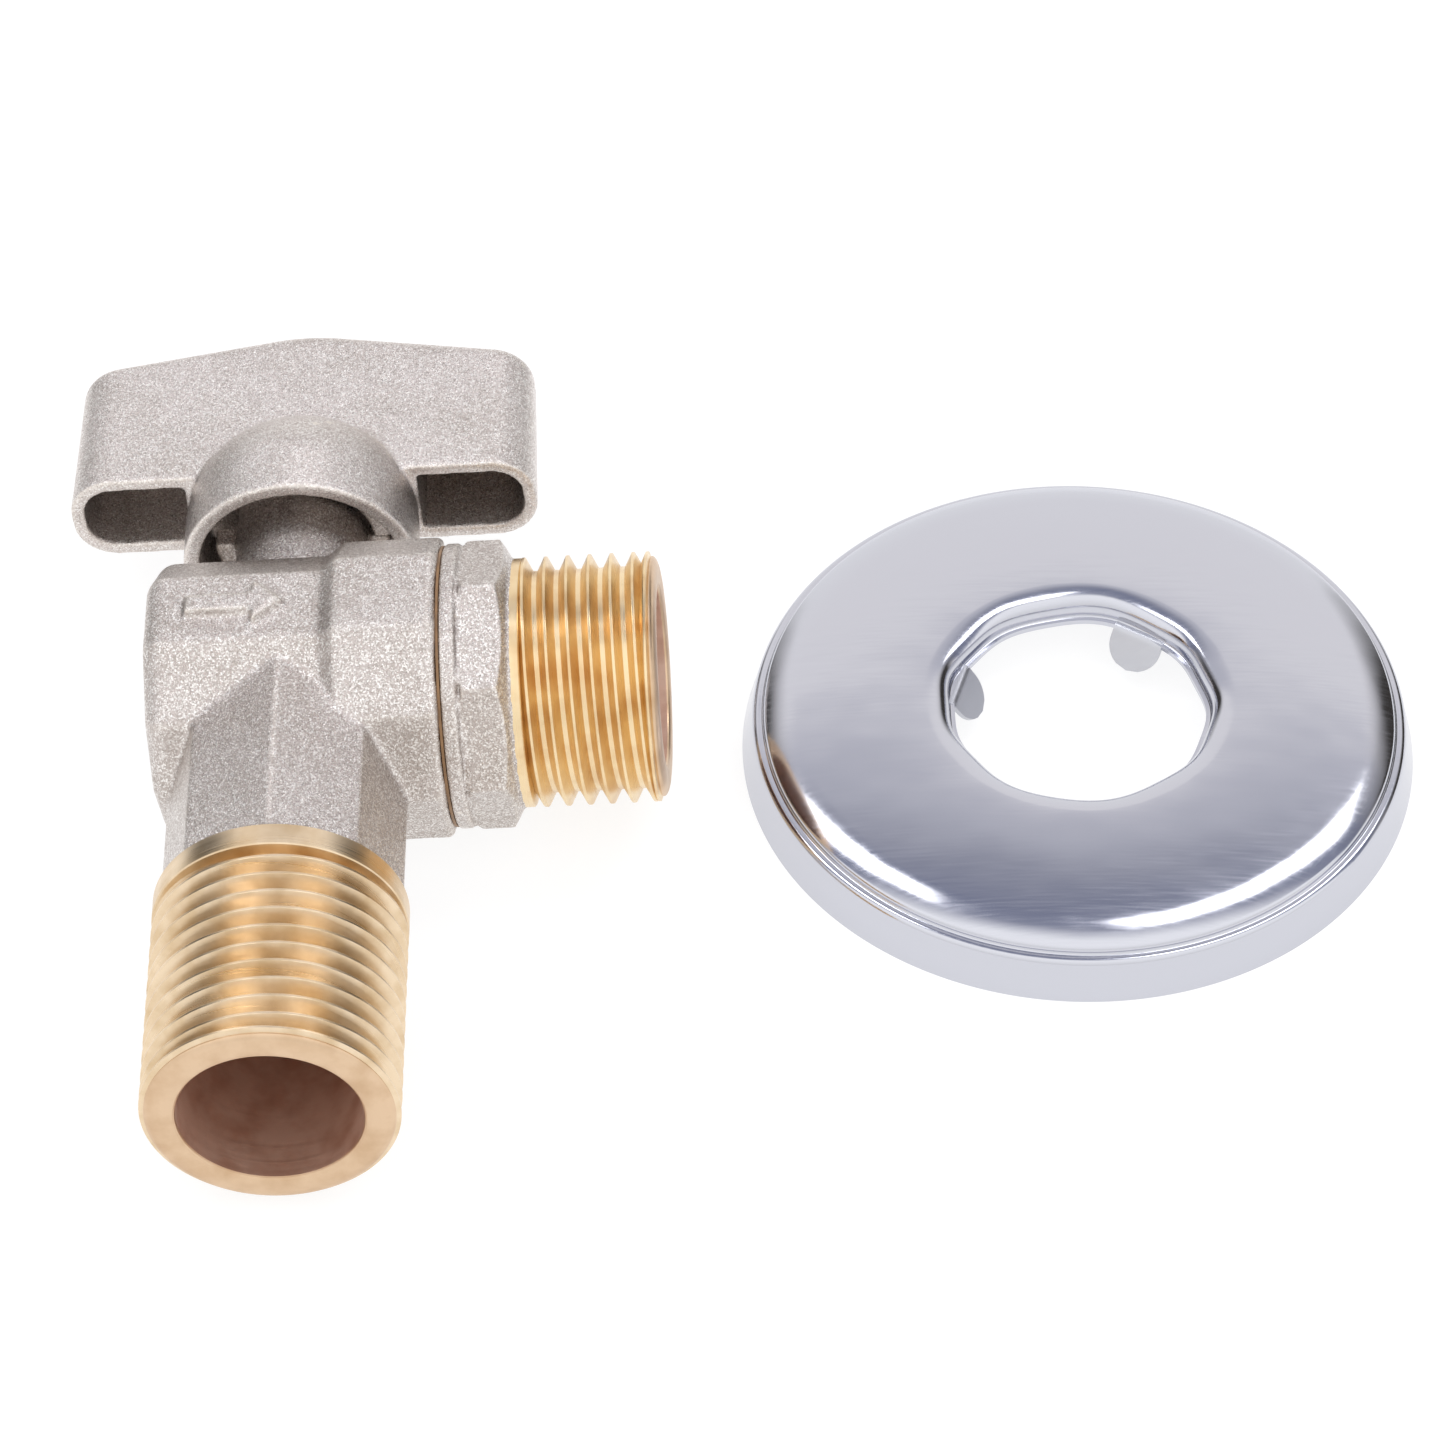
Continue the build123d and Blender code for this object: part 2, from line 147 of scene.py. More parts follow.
def blasted_nickel(name, light, warm):
    """Nickel plate over bead-blasted metal: a grain with darker cells of painted shade and
    near-white cells of painted glints, and sharp edges lightened, partly rub wear and partly a
    painted highlight.

    Blasting leaves pits of about 0.1 mm, drawn as two sizes of cell, 0.12 and 0.06 mm across.
    """
    material, tree = blank_material(name)
    at = millimetres(tree)
    pits = add(tree, "ShaderNodeTexVoronoi", {"Vector": at, "Scale": 8.5})
    fine = add(tree, "ShaderNodeTexVoronoi", {"Vector": at, "Scale": 17.0})
    cloud = add(tree, "ShaderNodeTexNoise", {
        "Vector": at, "Scale": 0.16, "Detail": 4.0}).outputs["Fac"]
    fleck = add(tree, "ShaderNodeSeparateColor", {"Color": pits.outputs["Color"]})
    edge = add(tree, "ShaderNodeNewGeometry").outputs["Pointiness"]
    tone = ramp(tree, cloud, (0.3, srgb(warm)), (0.62, srgb(light)))
    # Random cells are darkened (painted shade in the pits) or made near white (painted glints).
    shaded = mix_colour(
        tree, span(tree, fleck.outputs[0], 0.0, 0.45, 0.5, 0.0), tone, srgb("#8f877e"))
    glint_flecked = mix_colour(
        tree, span(tree, fleck.outputs[1], 0.5, 1.0, 0.0, 0.9), shaded, srgb("#fffcf8"))
    # Sharp edges are lightened toward near white: partly rub wear, partly a painted highlight.
    edge_wear_and_highlight = mix_colour(
        tree, span(tree, edge, 0.51, 0.57, 0.0, 0.7), glint_flecked, srgb("#f4ece2"))
    height = add(tree, "ShaderNodeMath", {
        0: pits.outputs["Distance"], 1: fine.outputs["Distance"]}, operation="ADD").outputs[0]
    bump = add(tree, "ShaderNodeBump", {
        "Height": height, "Strength": 0.5, "Distance": 0.00005}).outputs[0]
    finish_material(tree, add(tree, "ShaderNodeBsdfPrincipled", {
        "Base Color": edge_wear_and_highlight, "Metallic": 1.0, "Normal": bump,
        "Roughness": span(tree, fleck.outputs[2], 0.0, 1.0, 0.24, 0.38)}))
    return material


def add_piece(name, mesh, body, *stands_for):
    """Link a mesh as a piece that rides on a body and stands for the named CAD nodes."""
    piece = bpy.data.objects.new(name, mesh)
    bpy.context.scene.collection.objects.link(piece)
    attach(piece, body)
    if stands_for:
        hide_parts(*stands_for)
    return piece


def smooth(mesh):
    for polygon in mesh.polygons:
        polygon.use_smooth = True


def baked(piece):
    """The piece's mesh with its modifiers applied."""
    bpy.context.view_layer.update()
    depsgraph = bpy.context.evaluated_depsgraph_get()
    return bpy.data.meshes.new_from_object(piece.evaluated_get(depsgraph))


def cutter(low, high):
    """A box in the valve's frame, from its corners in millimetres."""
    mesh = bmesh.new()
    bmesh.ops.create_cube(mesh, size=1)
    low, high = mm(*low), mm(*high)
    for vert in mesh.verts:
        local = Vector([a + (b - a) * (0.5 + c) for a, b, c in zip(low, high, vert.co)])
        vert.co = valve @ local
    data = bpy.data.meshes.new("cutter")
    mesh.to_mesh(data)
    mesh.free()
    piece = bpy.data.objects.new("cutter", data)
    bpy.context.scene.collection.objects.link(piece)
    piece.hide_render = True
    return piece


def raised_arrow(tip, length, width, shaft, low, high):
    """A plain flow arrow that points to +X, as a closed prism in the valve's frame."""
    neck = tip - width * 0.55
    start = tip - length
    outline = [
        (start, -shaft / 2), (neck, -shaft / 2), (neck, -width / 2), (tip, 0),
        (neck, width / 2), (neck, shaft / 2), (start, shaft / 2)]
    mesh = bmesh.new()
    bottom = [mesh.verts.new(valve @ mm(x, y, low)) for x, y in outline]
    top = [mesh.verts.new(valve @ mm(x, y, high)) for x, y in outline]
    mesh.faces.new(reversed(bottom))
    mesh.faces.new(top)
    for place in range(len(outline)):
        after = (place + 1) % len(outline)
        mesh.faces.new((bottom[place], bottom[after], top[after], top[place]))
    data = bpy.data.meshes.new("arrow")
    mesh.to_mesh(data)
    mesh.free()
    return data


def softened(name, node, body, voxel, rounding, material, keep=None, relief=None):
    """A casting's skin from its CAD solid: cut to keep, joined with relief, edges rounded off.

    voxel is the skin's mesh size in mm, and rounding is how many times it is relaxed.
    """
    work = bpy.data.objects.new(name, frame["nodes"][node].data.copy())
    bpy.context.scene.collection.objects.link(work)
    if keep is not None:
        cut = work.modifiers.new("cut", "BOOLEAN")
        cut.operation = "INTERSECT"
        cut.solver = "EXACT"
        cut.object = keep
        work.data = baked(work)
        work.modifiers.clear()
        bpy.data.objects.remove(keep)
    if relief is not None:
        joined = bmesh.new()
        joined.from_mesh(work.data)
        joined.from_mesh(relief)
        joined.to_mesh(work.data)
        joined.free()
    skin = work.modifiers.new("skin", "REMESH")
    skin.mode = "VOXEL"
    skin.voxel_size = voxel / 1000
    relax = work.modifiers.new("relax", "SMOOTH")
    relax.factor = 0.5
    relax.iterations = rounding
    mesh = baked(work)
    bpy.data.objects.remove(work)
    smooth(mesh)
    mesh.materials.clear()
    mesh.materials.append(material)
    add_piece(name, mesh, body, node)


body_nickel = blasted_nickel("blasted_nickel_on_brass", "#c7bdb8", "#baafa8")
block_flat = 10.89
arrow_depth = 0.6
arrow_height = 0.8
neck_reach = 23.6
softened(
    "valve_body_forging", "valve_body", "valve", voxel=0.28, rounding=3, material=body_nickel,
    keep=cutter((-40, -neck_reach - 0.5, -40), (40, 60, 40)),
    relief=raised_arrow(
        tip=0.4, length=8.0, width=4.6, shaft=1.9,
        low=block_flat - arrow_depth, high=block_flat + arrow_height))


# ------------------------------------------------------------------ end connector

# End connector. A separate turned brass end, screwed into the body's collar: flange, groove and
# eight-sided wrench grip, blasted and nickel plated with the body. The brown line between the
# two is the sealant's own piece.

grip_end = 18.7
softened(
    "end_connector_grip", "end_connector", "valve", voxel=0.16, rounding=3, material=body_nickel,
    keep=cutter((-40, -40, -40), (grip_end + 0.4, 40, 40)))


# ------------------------------------------------------------------ handle

# Handle. One zinc die casting: a round skirt under a dome, and two hollow wings, open toward
# the valve. Blasted and nickel plated. A screw under a cap holds it on the stem's square.

handle_nickel = blasted_nickel("blasted_nickel_on_casting", "#d8ceca", "#cac0ba")
softened(
    "handle_casting", "handle", "handle", voxel=0.23, rounding=6, material=handle_nickel)


# ------------------------------------------------------------------ inlet thread

# Inlet thread. Bare brass, turned on the body's neck: a plain ring, then a G 1/2 thread of 14
# turns to the inch, bored through. The ridge is swept along its helix and stands on the tube.
# The mouth is faced flat and rounded, and is a little duller than the crests, with its brass colour
# darkened as painted shade.

to_inlet = valve @ Matrix.Rotation(math.pi / 2, 4, "X")
thread_pitch = 1.814
thread_depth = 1.162
crest_r = 10.36
root_r = crest_r - thread_depth
crest_width = 0.22
base_width = 1.53
bore_r = 7.45
columns = 168
mouth_length = 0.62
inlet_ring_end = 25.75
inlet_bore_end = 12.6


def smooth_below(mesh, degrees):
    """Smooth shading, with sharp edges where the surface turns by more than this."""
    smooth(mesh)
    mesh.set_sharp_from_angle(angle=math.radians(degrees))


def ring_mesh(name, rings, place, columns):
    """Skin between rings of columns points each, joined where neighbours coincide."""
    mesh = bmesh.new()
    rows = [[mesh.verts.new(place @ point) for point in ring] for ring in rings]
    for row, after in zip(rows, rows[1:]):
        for column in range(columns):
            beside = (column + 1) % columns
            mesh.faces.new((row[column], row[beside], after[beside], after[column]))
    bmesh.ops.remove_doubles(mesh, verts=mesh.verts, dist=2e-7)
    bmesh.ops.recalc_face_normals(mesh, faces=mesh.faces)
    data = bpy.data.meshes.new(name)
    mesh.to_mesh(data)
    mesh.free()
    return data


def turned_rings(outline, columns):
    """Rings about local Z from (distance along Z, radius) pairs in millimetres."""
    rings = []
    for along, radius in outline:
        angles = [2 * math.pi * column / columns for column in range(columns)]
        rings.append([
            mm(radius * math.cos(angle), radius * math.sin(angle), along) for angle in angles])
    return rings


def machined_brass(name, place, bright, deep, roughness):
    """Turned brass: a silky sheen from tool marks around local Z, under slight tarnish.

    A finishing cut leaves marks 0.05 mm apart. They are drawn at 0.11 mm, so that they show.
    """
    material, tree = blank_material(name)
    around = millimetres(tree, place, (0.04, 0.04, 9.0))
    marks = add(tree, "ShaderNodeTexNoise", {
        "Vector": around, "Scale": 1.0, "Detail": 4.0}).outputs["Fac"]
    tarnish = add(tree, "ShaderNodeTexNoise", {
        "Vector": millimetres(tree), "Scale": 0.35, "Detail": 5.0}).outputs["Fac"]
    tone = ramp(tree, tarnish, (0.32, srgb(deep)), (0.6, srgb(bright)))
    bump = add(tree, "ShaderNodeBump", {
        "Height": marks, "Strength": 0.25, "Distance": 0.00002}).outputs[0]
    finish_material(tree, add(tree, "ShaderNodeBsdfPrincipled", {
        "Base Color": tone, "Metallic": 1.0, "Normal": bump,
        "Roughness": span(tree, marks, 0.3, 0.7, roughness, roughness + 0.12)}))
    return material


def node_tree(name, sockets):
    """A geometry node tree with named inputs, and its group input node."""
    tree = bpy.data.node_groups.new(name, "GeometryNodeTree")
    for label, kind in sockets.items():
        tree.interface.new_socket(label, in_out="INPUT", socket_type=kind)
    tree.interface.new_socket("Geometry", in_out="OUTPUT", socket_type="NodeSocketGeometry")
    return tree, add(tree, "NodeGroupInput").outputs


def end_tree(tree, geometry, material):
    """End a tree: real geometry, with its material, to the output."""
    real = add(tree, "GeometryNodeRealizeInstances", {"Geometry": geometry}).outputs[0]
    made = add(tree, "GeometryNodeSetMaterial", {"Geometry": real, "Material": material})
    add(tree, "NodeGroupOutput", {"Geometry": made.outputs[0]})


def grown(name, tree, values):
    """The plain mesh that a geometry node tree makes from the values of its named inputs."""
    work = bpy.data.objects.new(name, bpy.data.meshes.new(name))
    bpy.context.scene.collection.objects.link(work)
    grow = work.modifiers.new("grow", "NODES")
    grow.node_group = tree
    for socket in tree.interface.items_tree:
        if socket.name in values:
            grow[socket.identifier] = values[socket.name]
    mesh = baked(work)
    bpy.data.objects.remove(work)
    return mesh


def thread_ridge_tree(name, material):
    """A right-handed thread ridge about Z: its flat-topped section swept along a helix."""
    tree, given = node_tree(name, {
        "Turns": "NodeSocketFloat", "Pitch": "NodeSocketFloat", "Root Radius": "NodeSocketFloat",
        "Depth": "NodeSocketFloat", "Sink": "NodeSocketFloat", "Crest Width": "NodeSocketFloat",
        "Base Width": "NodeSocketFloat", "Run Out": "NodeSocketFloat"})

    def sum_of(operation, first, second):
        return add(tree, "ShaderNodeMath", {0: first, 1: second}, operation=operation).outputs[0]

    rise = sum_of("MULTIPLY", given["Turns"], given["Pitch"])
    helix = add(tree, "GeometryNodeCurveSpiral", {
        "Resolution": columns // 2, "Rotations": given["Turns"], "Height": rise,
        "Start Radius": given["Root Radius"], "End Radius": given["Root Radius"],
        "Reverse": True}).outputs[0]
    upright = add(
        tree, "GeometryNodeSetCurveNormal", {"Curve": helix}, mode="Z_UP").outputs[0]
    height = sum_of("ADD", given["Depth"], given["Sink"])
    section = add(tree, "GeometryNodeCurvePrimitiveQuadrilateral", {
        "Height": height, "Bottom Width": given["Crest Width"],
        "Top Width": given["Base Width"], "Offset": 0.0}, mode="TRAPEZOID").outputs[0]
    rounded = add(tree, "GeometryNodeFilletCurve", {
        "Curve": section, "Radius": 0.00004, "Count": 2}, mode="POLY").outputs[0]
    outward = sum_of("SUBTRACT", sum_of("MULTIPLY", height, 0.5), given["Sink"])
    shift = add(tree, "ShaderNodeCombineXYZ", {"X": outward}).outputs[0]
    placed = add(tree, "GeometryNodeTransform", {
        "Geometry": rounded, "Translation": shift,
        "Rotation": (0.0, 0.0, math.pi / 2)}).outputs[0]
    along = add(tree, "GeometryNodeSplineParameter").outputs["Factor"]
    nearest = sum_of("MINIMUM", along, sum_of("SUBTRACT", 1.0, along))
    turns_in = sum_of("MULTIPLY", nearest, given["Turns"])
    scale = sum_of("MAXIMUM", sum_of(
        "MINIMUM", sum_of("DIVIDE", turns_in, given["Run Out"]), 1.0), 0.02)
    ridge = add(tree, "GeometryNodeCurveToMesh", {
        "Curve": upright, "Profile Curve": placed, "Scale": scale,
        "Fill Caps": True}).outputs[0]
    end_tree(tree, ridge, material)
    return tree


def threaded_tube(
        name, shoulder, shoulder_r, reach, bore_end, place, body, node, outer, mouth, inner):
    """A tube's threaded end: shoulder ring, root tube and rounded mouth, thread ridge and bore."""
    start = shoulder[1] + 0.2
    tube = ring_mesh(name, turned_rings([
        (shoulder[0], bore_r), (shoulder[0], shoulder_r - 0.12), (shoulder[0] + 0.12, shoulder_r),
        (shoulder[1] - 0.1, shoulder_r), (shoulder[1], shoulder_r - 0.1), (start, root_r),
        (reach - 1.5, root_r), (reach - 0.98, crest_r - 0.06), (reach - 0.92, crest_r - 0.02),
        (reach - 0.76, crest_r - 0.03), (reach - 0.66, crest_r - 0.38),
        (reach - 0.6, crest_r - 0.46), (reach - 0.54, crest_r - 0.42),
        (reach - 0.46, crest_r - 0.42), (reach - 0.36, crest_r - 0.48),
        (reach - 0.26, crest_r - 0.6), (reach - 0.16, crest_r - 0.8),
        (reach - 0.08, crest_r - 1.06), (reach - 0.02, crest_r - 1.4), (reach, crest_r - 1.8),
        (reach - 0.02, bore_r + 0.5), (reach - 0.1, bore_r + 0.2), (reach - 0.22, bore_r + 0.06),
        (reach - 0.35, bore_r)], columns), place, columns)
    smooth_below(tube, 24)
    tube.materials.append(outer)
    tube.materials.append(mouth)
    to_axis = place.inverted()
    for polygon in tube.polygons:
        if (to_axis @ polygon.center).z > (reach - mouth_length) / 1000:
            polygon.material_index = 1
    add_piece(name, tube, body, node)

    last_crest = reach - 0.9
    full_turns = math.floor((last_crest - start - 0.5) / thread_pitch) + 1
    past_crest = 0.25
    ridge = grown(name + "_ridge", thread_ridge_tree(name + "_ridge", outer), {
        "Turns": full_turns + past_crest, "Pitch": thread_pitch / 1000,
        "Root Radius": root_r / 1000, "Depth": (thread_depth - 0.01) / 1000, "Sink": 0.0001,
        "Crest Width": crest_width / 1000, "Base Width": base_width / 1000, "Run Out": 0.3})
    ridge.transform(
        place @ Matrix.Translation(mm(0, 0, last_crest - full_turns * thread_pitch)))
    smooth_below(ridge, 15)
    add_piece(name + "_ridge", ridge, body)

    liner = ring_mesh(name + "_bore", turned_rings([
        (reach - 0.35, bore_r), (reach - 4, bore_r), (bore_end + 4, bore_r),
        (bore_end, bore_r - 0.04), (bore_end - 1.5, 5.2), (bore_end - 1.6, 5.0)], columns),
        place, columns)
    liner.flip_normals()
    smooth_below(liner, 30)
    liner.materials.append(inner)
    add_piece(name + "_bore", liner, body)


inlet_brass = machined_brass("machined_brass_inlet", to_inlet, "#edd7b8", "#d8bd97", 0.26)
# The mouth's brass is a darker copy of the inlet's: the darkening is painted shade on the faced end.
shaded_mouth_brass = machined_brass("faced_brass_painted_shade", to_inlet, "#dfc2a2", "#ceae8c", 0.3)
bore_brass = machined_brass("bored_brass", to_inlet, "#f0d2c0", "#dcb49e", 0.5)
inlet_reach = crossing.y * 1000 + 0.74
threaded_tube(
    "inlet_thread", (neck_reach, inlet_ring_end), crest_r, inlet_reach, inlet_bore_end, to_inlet,
    "valve", "valve_body", inlet_brass, shaded_mouth_brass, bore_brass)


# ------------------------------------------------------------------ outlet thread

# Outlet thread. The same G 1/2 thread, turned on the end connector from the wrench grip on.
# Bare brass, a little yellower and brighter than the inlet's.

to_outlet = valve @ Matrix.Rotation(math.pi / 2, 4, "Y")
outlet_brass = machined_brass("machined_brass_outlet", to_outlet, "#f2dab0", "#e0c092", 0.24)
outlet_reach = 30.8
outlet_ring_end = 19.65
outlet_ring_r = 10.3
outlet_bore_end = 14.2
threaded_tube(
    "outlet_thread", (grip_end, outlet_ring_end), outlet_ring_r, outlet_reach, outlet_bore_end,
    to_outlet, "valve", "end_connector", outlet_brass, shaded_mouth_brass, bore_brass)


# ------------------------------------------------------------------ wall cover

# Wall cover. One pressed and polished stainless sheet of 0.45 mm: a foot that flares outward, a
# small step, a low dome, and a hole turned down to a narrow flange.

cover_low, cover_high = (Vector(corner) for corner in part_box("wall_cover"))
table_z = cover_low.z
cover_centre = (cover_low + cover_high) / 2
cover_centre.z = table_z
sheet = 0.45
cover_r = 28.3
hole_r = 11.05


def polished_steel(name, colour, smoothest):
    """Mirror-polished stainless sheet: reflections bent by press waves, and hair scratches.

    The press leaves waves about 11 mm long, and polishing hairs some 0.17 mm apart.
    """
    material, tree = blank_material(name)
    at = millimetres(tree, Matrix.Translation(cover_centre))
    waves = add(tree, "ShaderNodeTexNoise", {
        "Vector": at, "Scale": 0.09, "Detail": 2.0}).outputs["Fac"]
    hairs = add(tree, "ShaderNodeTexNoise", {
        "Vector": millimetres(tree, Matrix.Translation(cover_centre), (0.25, 6.0, 1.0)),
        "Scale": 1.0, "Detail": 5.0}).outputs["Fac"]
    height = add(tree, "ShaderNodeMath", {
        0: waves, 1: span(tree, hairs, 0.3, 0.7, 0.0, 0.004)}, operation="ADD").outputs[0]
    bump = add(tree, "ShaderNodeBump", {
        "Height": height, "Strength": 0.35, "Distance": 0.0004}).outputs[0]
    finish_material(tree, add(tree, "ShaderNodeBsdfPrincipled", {
        "Base Color": srgb(colour), "Metallic": 1.0, "Normal": bump,
        "Roughness": span(tree, hairs, 0.35, 0.75, smoothest, smoothest + 0.1)}))
    return material


steel = polished_steel("polished_stainless_steel", "#cbccd4", smoothest=0.11)


def arc(points, heading, radius, turn, steps):
    """Continue a (radius, height) outline by an arc that turns left by turn degrees."""
    x, z = points[-1]
    side = heading + math.pi / 2
    centre = (x + radius * math.cos(side), z + radius * math.sin(side))
    for step in range(1, steps + 1):
        angle = side - math.pi + math.radians(turn) * step / steps
        points.append((centre[0] + radius * math.cos(angle), centre[1] + radius * math.sin(angle)))
    return heading + math.radians(turn)


def cover_outline():
    """The sheet's outer side, from the foot on the table over the dome into the hole."""
    lean = math.radians(13)
    foot_z = 3.9 - 0.6 * (1 - math.sin(lean))
    points = [
        (cover_r - foot_z * math.tan(lean) * share, foot_z * share)
        for share in (0.0, 0.03, 0.3, 0.7, 1.0)]
    heading = arc(points, math.pi / 2 + lean, 0.6, 77, 8)
    points.append((26.8, 3.9))
    heading = arc(points, heading, -0.25, -90, 6)
    heading = arc(points, heading, 0.5, 60, 10)
    heading = arc(points, heading, 8.0, 20, 20)
    dome_r = (points[-1][0] - 13.1) / math.sin(math.radians(10))
    heading = arc(points, heading, dome_r, 10, 24)
    heading = arc(points, heading, 3.5, 20, 12)
    lip_r = (points[-1][0] - hole_r) / (1 - math.sin(math.radians(20)))
    heading = arc(points, heading, lip_r, 70, 14)
    points.append((hole_r, 4.65))
    arc(points, heading, -0.25, -90, 6)
    points.append((hole_r - 0.5, 4.4))
    return points


def inner_side(points):
    """The same outline moved inward by the sheet's thickness."""
    moved = []
    for place, (x, z) in enumerate(points):
        before = points[max(place - 1, 0)]
        after = points[min(place + 1, len(points) - 1)]
        run, rise = after[0] - before[0], after[1] - before[1]
        length = math.hypot(run, rise)
        moved.append((x - rise / length * sheet, z + run / length * sheet))
    return moved


def hole_wobble(radius, angle):
    """The press leaves the hole slightly many-sided: how far to move a point outward, in mm."""
    near = max(0.0, 1 - max(radius - hole_r, 0.0) / 2.6)
    sides = 0.5 + 0.5 * math.cos(9 * angle + 0.7 * math.sin(2 * angle))
    return near * (0.22 * sides + 0.08 * math.cos(4 * angle + 1.0) - 0.15)


def make_cover():
    """The whole sheet, turned about Z, with the hole's edge slightly many-sided."""
    around = 288
    outer = cover_outline()
    inner = list(reversed(inner_side(outer)))
    rings = []
    for radius, height in outer + inner + outer[:1]:
        ring = []
        for column in range(around):
            angle = 2 * math.pi * column / around
            r = radius + hole_wobble(radius, angle)
            ring.append(mm(r * math.cos(angle), r * math.sin(angle), height))
        rings.append(ring)
    mesh = ring_mesh("wall_cover_sheet", rings, Matrix.Translation(cover_centre), around)
    smooth_below(mesh, 40)
    mesh.materials.append(steel)
    add_piece("wall_cover_sheet", mesh, "cover", "wall_cover")


make_cover()


# ------------------------------------------------------------------ spring tabs

# Spring tabs. Three round-ended tongues, cut from the cover's own sheet and bent down and inward
# from the hole's flange, so that they grip the pipe.

tab_angles = (59, 163, 291)


def tongue():
    """One tab in the cover's frame, reaching inward from the flange at +X."""
    width, length, droop, bend_length = 4.6, 3.6, math.radians(52), 0.9
    steps, across = 14, 10
    mesh = bmesh.new()
    grid = []
    for step in range(steps + 1):
        along = length * step / steps
        bend = droop * min(1.0, along / bend_length)
        past = along - length + width / 2
        half = width / 2
        if past > 0:
            half = math.sqrt(max(half * half - past * past, 0.0))
        inward = along * math.cos(droop)
        inward += 0.25 * (1 - math.cos(droop)) * min(1, along / bend_length)
        drop = max(0.0, along - 0.35) * math.sin(bend)
        grid.append([mesh.verts.new(mm(
            hole_r - 0.25 - inward, half * (2 * side / across - 1), 4.3 - drop))
            for side in range(across + 1)])
    for row, after in zip(grid, grid[1:]):
        for side in range(across):
            mesh.faces.new((row[side], after[side], after[side + 1], row[side + 1]))
    bmesh.ops.remove_doubles(mesh, verts=mesh.verts, dist=1e-6)
    bmesh.ops.recalc_face_normals(mesh, faces=mesh.faces)
    data = bpy.data.meshes.new("tongue")
    mesh.to_mesh(data)
    mesh.free()
    work = bpy.data.objects.new("tongue", data)
    bpy.context.scene.collection.objects.link(work)
    thick = work.modifiers.new("sheet", "SOLIDIFY")
    thick.thickness = sheet / 1000 * 0.9
    thick.offset = 0
    data = baked(work)
    bpy.data.objects.remove(work)
    return data


def spring_tabs_tree(material):
    """Copies of the tongue turned about Z, one for each named angle."""
    names = [f"Angle {number}" for number, _ in enumerate(tab_angles, start=1)]
    tree, given = node_tree("spring_tabs", {
        "Tongue": "NodeSocketObject", **{name: "NodeSocketFloat" for name in names}})
    one = add(tree, "GeometryNodeObjectInfo", {"Object": given["Tongue"]}).outputs["Geometry"]
    together = add(tree, "GeometryNodeJoinGeometry")
    for name in names:
        turn = add(tree, "ShaderNodeCombineXYZ", {"Z": given[name]}).outputs[0]
        copy = add(tree, "GeometryNodeTransform", {"Geometry": one, "Rotation": turn})
        tree.links.new(copy.outputs[0], together.inputs[0])
    end_tree(tree, together.outputs[0], material)
    return tree


# The tabs take a duller copy of the cover's steel, its colour a little darker as painted shade under
# the hole's flange.
satin_steel_painted_shade = polished_steel("satin_stainless_steel_painted_shade", "#c6c7cd", smoothest=0.3)
model = bpy.data.objects.new("tongue_model", tongue())
bpy.context.scene.collection.objects.link(model)
tabs = grown("cover_tabs", spring_tabs_tree(satin_steel_painted_shade), {
    "Tongue": model,
    **{f"Angle {number}": math.radians(angle) for number, angle in enumerate(tab_angles, 1)}})
bpy.data.objects.remove(model)
tabs.transform(Matrix.Translation(cover_centre))
smooth_below(tabs, 40)
add_piece("cover_tabs", tabs, "cover")


# ------------------------------------------------------------------ pieces inside the valve

# Pieces inside. Sealant, PTFE seats and washer, chromed ball, brass stem, rubber O-rings, steel
# screw and its cap: each keeps its CAD shape and gets its own finish.


def plain_finish(name, colour, roughness, metallic=0.0, mottle=0.12):
    """A finish for a hidden piece: mottling over about 1 mm and a grain of about 0.1 mm."""
    material, tree = blank_material(name)
    at = millimetres(tree)
    cloud = add(tree, "ShaderNodeTexNoise", {
        "Vector": at, "Scale": 0.8, "Detail": 3.0}).outputs["Fac"]
    grain = add(tree, "ShaderNodeTexNoise", {
        "Vector": at, "Scale": 9.0, "Detail": 2.0}).outputs["Fac"]
    base = srgb(colour)
    dark = tuple(channel * (1 - 2 * mottle) for channel in base[:3]) + (1.0,)
    bump = add(tree, "ShaderNodeBump", {
        "Height": grain, "Strength": 0.2, "Distance": 0.00002}).outputs[0]
    finish_material(tree, add(tree, "ShaderNodeBsdfPrincipled", {
        "Base Color": ramp(tree, cloud, (0.35, dark), (0.6, base)), "Metallic": metallic,
        "Normal": bump, "Roughness": span(tree, grain, 0.3, 0.7, roughness, roughness + 0.1)}))
    return material


finishes = {
    "joint_sealant": plain_finish("cured_sealant", "#94704c", 0.4),
    "outlet_seat": plain_finish("ptfe", "#ecebe6", 0.4),
    "ball": plain_finish("chromed_ball", "#c9cdd2", 0.08, 1.0, 0.03),
    "stem": plain_finish("turned_brass_stem", "#d6aa62", 0.25, 1.0),
    "stem_oring_inner": plain_finish("nitrile_rubber", "#1b1b1b", 0.55),
    "handle_screw": plain_finish("stainless_screw", "#b5b5b3", 0.25, 1.0),
    "handle_cap": plain_finish("grey_cap_plastic", "#8d8c8a", 0.45),
}
for node, like in {
        "back_seat": "outlet_seat", "thrust_washer": "outlet_seat",
        "stem_oring_outer": "stem_oring_inner", "screw_washer": "handle_screw"}.items():
    finishes[node] = finishes[like]
for node, material in finishes.items():
    data = frame["nodes"][node].data
    data.materials.clear()
    data.materials.append(material)


# ------------------------------------------------------------------ table, light and camera

# Table, light and camera. A lit white table top, a pale studio seen in the metal, two soft
# boxes overhead, and a camera that looks down at the valve and its cover.

def grey(value):
    return (value, value, value, 1.0)


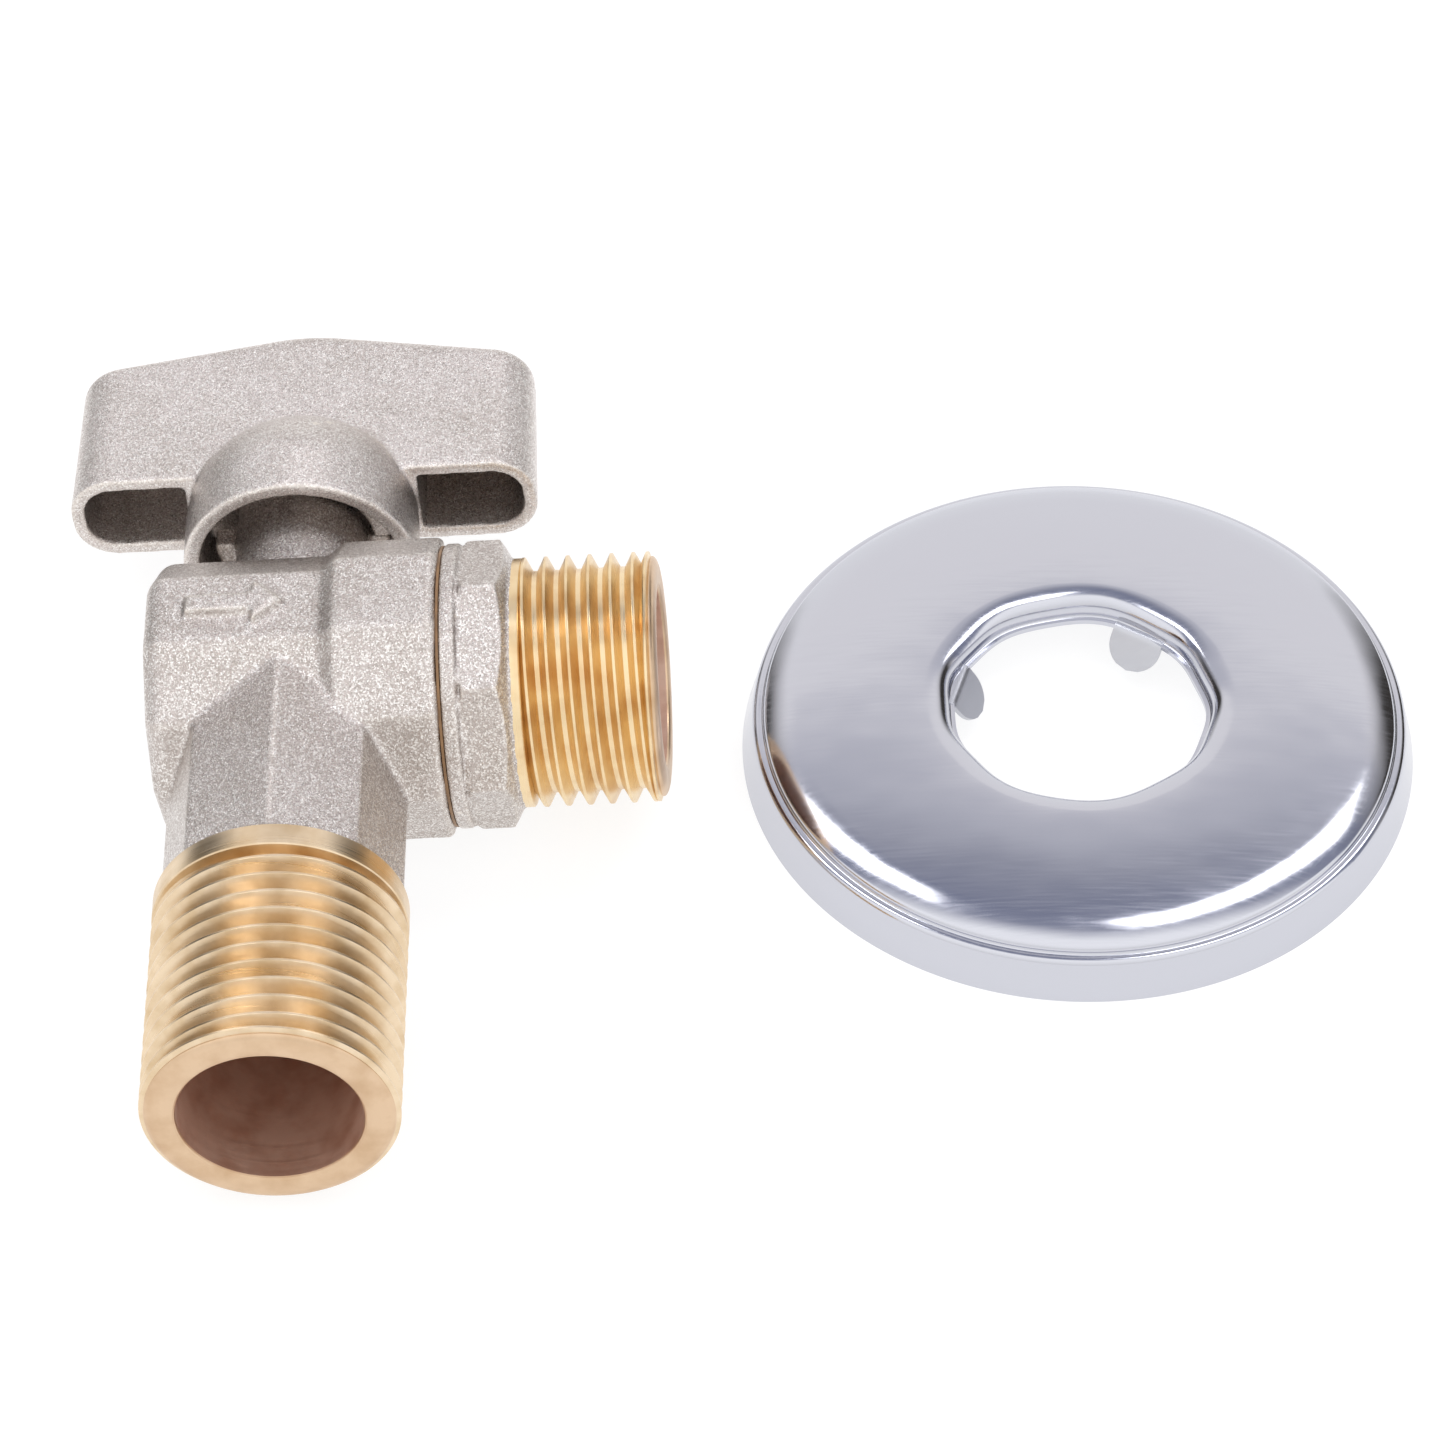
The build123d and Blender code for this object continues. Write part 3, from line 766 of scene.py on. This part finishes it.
def make_floor():
    """A lit white table top, one large flat sheet, so that shadows on it stay faint."""
    mesh = bpy.data.meshes.new("table")
    half = 1.5
    corners = [(-half, -half), (half, -half), (half, half), (-half, half)]
    mesh.from_pydata(
        [(x + cover_centre.x, y + cover_centre.y, table_z - 0.00002) for x, y in corners],
        [], [(0, 1, 2, 3)])
    floor = bpy.data.objects.new("table", mesh)
    bpy.context.scene.collection.objects.link(floor)
    material, tree = blank_material("white_table")
    finish_material(tree, add(tree, "ShaderNodeBsdfPrincipled", {
        "Base Color": grey(0.25), "Roughness": 0.9, "Specular IOR Level": 0.0,
        "Emission Color": grey(1.0), "Emission Strength": 0.83}))
    mesh.materials.append(material)


def make_world():
    """A studio seen by reflection: pale behind, navy overhead, bright in front, dark far corners."""
    world = bpy.data.worlds.new("studio")
    world.use_nodes = True
    tree = world.node_tree
    tree.nodes.clear()
    way = add(tree, "ShaderNodeTexCoord").outputs["Generated"]
    parts = add(tree, "ShaderNodeSeparateXYZ", {"Vector": way})
    over = add(tree, "ShaderNodeMath", {
        0: parts.outputs["Z"], 1: parts.outputs["Y"]}, operation="ARCTAN2").outputs[0]
    over = span(tree, over, 0.0, math.pi, 0.0, 1.0)
    room = ramp(
        tree, over, (0.0, grey(1.05)), (0.2, (1.02, 1.0, 1.005, 1)),
        (0.252, (1.02, 1.0, 1.005, 1)), (0.276, (0.7, 0.697, 0.75, 1)),
        (0.305, (0.65, 0.655, 0.71, 1)), (0.335, (0.42, 0.43, 0.5, 1)),
        (0.38, (0.26, 0.28, 0.38, 1)), (0.48, (0.32, 0.34, 0.44, 1)),
        (0.56, grey(1.28)), (0.74, grey(1.2)), (1.0, grey(0.95)))
    side = add(tree, "ShaderNodeMath", {0: parts.outputs["X"]}, operation="ABSOLUTE").outputs[0]
    sideways = span(tree, side, 0.38, 0.6, 0.0, 1.0)
    low = span(tree, parts.outputs["Z"], 0.42, 0.7, 1.0, 0.0)
    far = span(tree, parts.outputs["Y"], 0.1, 0.4, 0.0, 1.0)
    corner = add(tree, "ShaderNodeMath", {0: sideways, 1: low}, operation="MULTIPLY").outputs[0]
    corner = add(tree, "ShaderNodeMath", {0: corner, 1: far}, operation="MULTIPLY").outputs[0]
    shade = mix_colour(tree, corner, room, (0.05, 0.045, 0.04, 1))
    background = add(tree, "ShaderNodeBackground", {"Color": shade, "Strength": 1.0})
    output = add(tree, "ShaderNodeOutputWorld")
    tree.links.new(background.outputs[0], output.inputs["Surface"])
    bpy.context.scene.world = world


def soft_box(name, towards, distance, width, height, power):
    """An area light aimed at the middle of the object from the direction towards."""
    light = bpy.data.lights.new(name, "AREA")
    light.shape = "RECTANGLE"
    light.size = width
    light.size_y = height
    light.energy = power
    lamp = bpy.data.objects.new(name, light)
    way = Vector(towards).normalized()
    lamp.location = target + way * distance
    lamp.rotation_euler = way.to_track_quat("Z", "Y").to_euler()
    bpy.context.scene.collection.objects.link(lamp)


elevation = math.radians(47.24)
camera_distance = 0.5799
view_right = 35.52
view_drop = 0.00232
up = Vector((0, math.sin(elevation), math.cos(elevation)))
back = Vector((0, -math.cos(elevation), math.sin(elevation)))
target = crossing + mm(view_right, 0, 0) - up * view_drop

make_floor()
make_world()
soft_box(
    "left_box", (-0.44, 0.25, 0.86), distance=0.7, width=0.17, height=0.34, power=0.8)
soft_box(
    "right_box", (0.43, 0.25, 0.87), distance=0.7, width=0.18, height=0.46, power=0.95)

camera_data = bpy.data.cameras.new("camera")
camera_data.sensor_width = 36
camera_data.lens = 174.39446
camera_data.clip_start = 0.01
camera_data.clip_end = 10
camera = bpy.data.objects.new("camera", camera_data)
camera.location = target + back * camera_distance
camera.rotation_euler = back.to_track_quat("Z", "Y").to_euler()
bpy.context.scene.collection.objects.link(camera)
bpy.context.scene.camera = camera
bpy.context.scene.view_settings.view_transform = "Standard"
